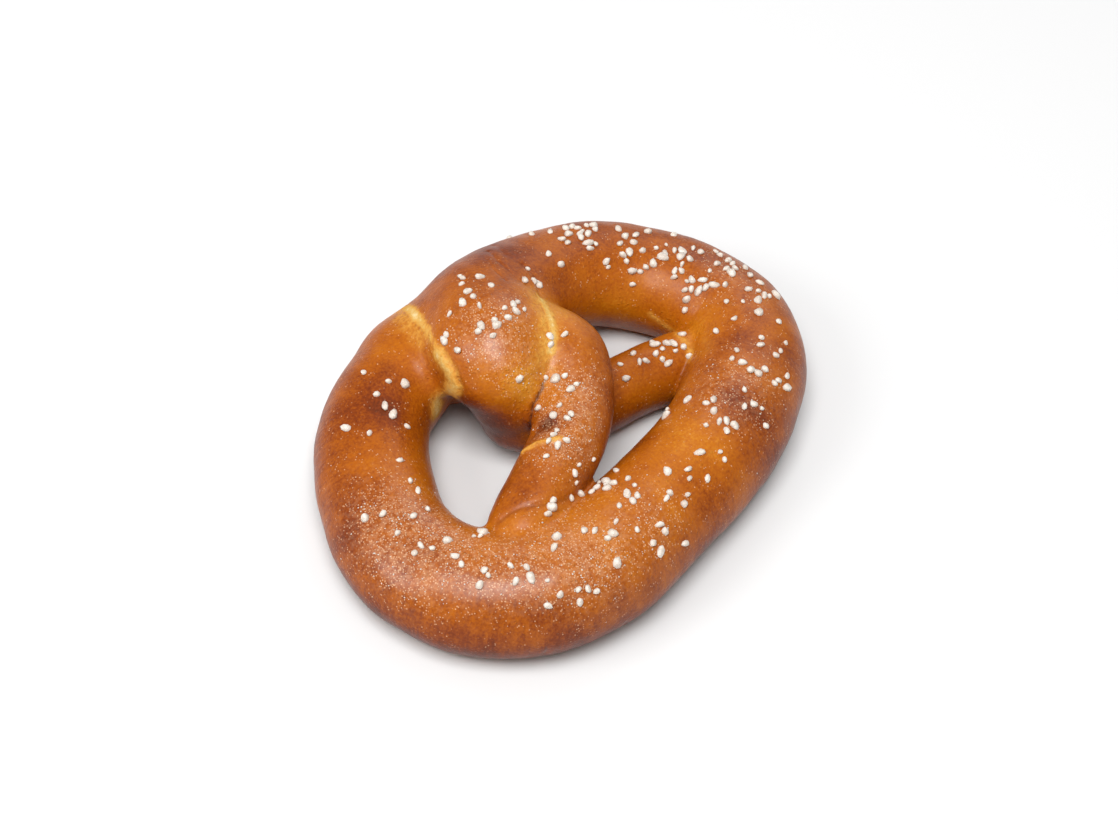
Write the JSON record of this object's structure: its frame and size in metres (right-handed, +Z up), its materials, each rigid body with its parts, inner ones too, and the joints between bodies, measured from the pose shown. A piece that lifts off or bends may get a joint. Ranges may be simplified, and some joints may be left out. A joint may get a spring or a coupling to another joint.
{
  "type": "soft pretzel",
  "caption": "Baked soft pretzel: a rope of dough looped, twisted and folded into two lobes and a knot, glossy brown, with coarse salt on top.",
  "frame": {"origin": "centre of the pretzel's bounding box, on the flat underside it rests on", "axes": "+X across the two lobes, towards the lobe that holds the knot's upper strand; +Y from the belly to the knot; +Z up"},
  "size_m": [0.1491, 0.1112, 0.0421],
  "materials": {
    "crust": "glossy lye-browned bread crust, golden where it stretched",
    "salt": "opaque white coarse salt"
  },
  "bodies": {
    "root": {"pretzel": "crust", "salt_grain_01": "salt", "salt_grain_02": "salt", "salt_grain_03": "salt", "salt_grain_04": "salt", "salt_grain_05": "salt", "salt_grain_06": "salt", "salt_grain_07": "salt", "salt_grain_08": "salt", "salt_grain_09": "salt", "salt_grain_10": "salt", "salt_grain_11": "salt", "salt_grain_12": "salt", "salt_grain_13": "salt", "salt_grain_14": "salt", "salt_grain_15": "salt", "salt_grain_16": "salt", "salt_grain_17": "salt", "salt_grain_18": "salt", "salt_grain_19": "salt", "salt_grain_20": "salt", "salt_grain_21": "salt", "salt_grain_22": "salt", "salt_grain_23": "salt", "salt_grain_24": "salt", "salt_grain_25": "salt", "salt_grain_26": "salt", "salt_grain_27": "salt", "salt_grain_28": "salt", "salt_grain_29": "salt", "salt_grain_30": "salt", "salt_grain_31": "salt", "salt_grain_32": "salt", "salt_grain_33": "salt", "salt_grain_34": "salt", "salt_grain_35": "salt", "salt_grain_36": "salt", "salt_grain_37": "salt", "salt_grain_38": "salt", "salt_grain_39": "salt", "salt_grain_40": "salt", "salt_grain_41": "salt", "salt_grain_42": "salt", "salt_grain_43": "salt", "salt_grain_44": "salt", "salt_grain_45": "salt", "salt_grain_46": "salt", "salt_grain_47": "salt", "salt_grain_48": "salt"}
  },
  "joints": []
}
